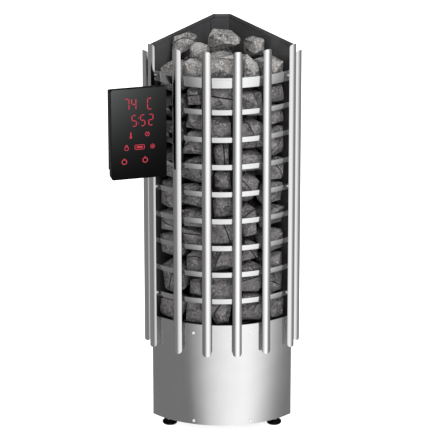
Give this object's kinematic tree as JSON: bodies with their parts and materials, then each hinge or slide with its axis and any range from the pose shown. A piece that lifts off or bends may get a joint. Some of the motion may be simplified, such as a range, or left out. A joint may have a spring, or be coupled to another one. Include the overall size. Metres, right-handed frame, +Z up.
{
  "type": "sauna heater stove",
  "caption": "Tall corner sauna heater with a quarter-round front: stones held behind steel bands and upright bars, electric elements inside, and a touch control panel clamped to a bar.",
  "frame": {"origin": "floor level under the centre of the rear foot, on the heater's plane of symmetry", "axes": "+Z up, -Y out of the round front, +X to the right as seen from the front; the room's corner is at +Y"},
  "size_m": [0.4651, 0.268, 1.014],
  "materials": {
    "black_paint": "matte",
    "zinc_steel": "satin",
    "stainless": "polished",
    "bright_screws": "polished",
    "element_sheath": "satin",
    "brass_nuts": "satin",
    "terminal_ceramic": "matte",
    "white_plastic": "satin",
    "copper_tube": "satin",
    "red_plastic": "gloss",
    "black_plastic": "matte",
    "foot_rubber": "satin",
    "panel_plastic": "gloss",
    "panel_glass": "gloss",
    "circuit_board": "satin",
    "stone_light": "matte",
    "stone_dark": "matte"
  },
  "bodies": {
    "heater": {"base_plate": "zinc_steel", "lower_casing": "stainless", "side_plate_left": "black_paint", "side_plate_right": "black_paint", "rear_strip": "black_paint", "stone_shelf": "zinc_steel", "band_1": "stainless", "band_2": "stainless", "band_3": "stainless", "band_4": "stainless", "band_5": "stainless", "band_6": "stainless", "band_7": "stainless", "band_8": "stainless", "top_band": "stainless", "name_plate": "stainless", "bar_1": "stainless", "bar_2": "stainless", "bar_3": "stainless", "bar_4": "stainless", "bar_5": "stainless", "bar_6": "stainless", "bar_7": "stainless", "bar_8": "stainless", "bar_spacers": "stainless", "bar_studs": "stainless", "outer_bar_brackets": "stainless", "casing_screws": "bright_screws", "heating_element_1": "element_sheath", "heating_element_2": "element_sheath", "heating_element_3": "element_sheath", "element_glands": "brass_nuts", "wiring_box": "zinc_steel", "terminal_block": "terminal_ceramic", "limiter": "white_plastic", "limiter_sensor": "copper_tube", "sensor_clip": "stainless", "cable_gland": "black_plastic", "foot_bushes": "zinc_steel", "panel_housing": "panel_plastic", "panel_glass": "panel_glass", "panel_board": "circuit_board", "panel_bracket": "zinc_steel", "clamp_jaws": "zinc_steel", "clamp_screws": "bright_screws", "stones_front": "stone_dark", "stones_middle": "stone_dark", "stones_back": "stone_dark", "stones_top": "stone_light"},
    "reset_button": {"reset_button": "red_plastic"},
    "adjusting_nut_1": {"adjusting_nut_1": "bright_screws"},
    "foot_1": {"foot_stud_1": "bright_screws", "foot_pad_1": "foot_rubber"},
    "adjusting_nut_2": {"adjusting_nut_2": "bright_screws"},
    "foot_2": {"foot_stud_2": "bright_screws", "foot_pad_2": "foot_rubber"},
    "adjusting_nut_3": {"adjusting_nut_3": "bright_screws"},
    "foot_3": {"foot_stud_3": "bright_screws", "foot_pad_3": "foot_rubber"}
  },
  "joints": [
    {"name": "reset_press", "type": "slide", "parent": "heater", "child": "reset_button", "axis": [0, 0, 1], "range_m": [0, 0.003], "stiffness_N_per_m": 400, "springref_m": -0.002},
    {"name": "nut_turn_1", "type": "hinge", "parent": "heater", "child": "adjusting_nut_1", "pos_m": [-0.12999, -0.11988, 0.015], "axis": [0, 0, 1], "range_deg": [-2880, 0]},
    {"name": "foot_travel_1", "type": "slide", "parent": "adjusting_nut_1", "child": "foot_1", "axis": [0, 0, -1], "range_m": [0, 0.012]},
    {"name": "nut_turn_2", "type": "hinge", "parent": "heater", "child": "adjusting_nut_2", "pos_m": [0.12999, -0.11988, 0.015], "axis": [0, 0, 1], "range_deg": [-2880, 0]},
    {"name": "foot_travel_2", "type": "slide", "parent": "adjusting_nut_2", "child": "foot_2", "axis": [0, 0, -1], "range_m": [0, 0.012]},
    {"name": "nut_turn_3", "type": "hinge", "parent": "heater", "child": "adjusting_nut_3", "pos_m": [0, 0, 0.015], "axis": [0, 0, 1], "range_deg": [-2880, 0]},
    {"name": "foot_travel_3", "type": "slide", "parent": "adjusting_nut_3", "child": "foot_3", "axis": [0, 0, -1], "range_m": [0, 0.012]}
  ],
  "couplings": [
    {"joint": "foot_travel_1", "follows": "nut_turn_1", "m_per_rad": -0.00023873},
    {"joint": "foot_travel_2", "follows": "nut_turn_2", "m_per_rad": -0.00023873},
    {"joint": "foot_travel_3", "follows": "nut_turn_3", "m_per_rad": -0.00023873}
  ]
}
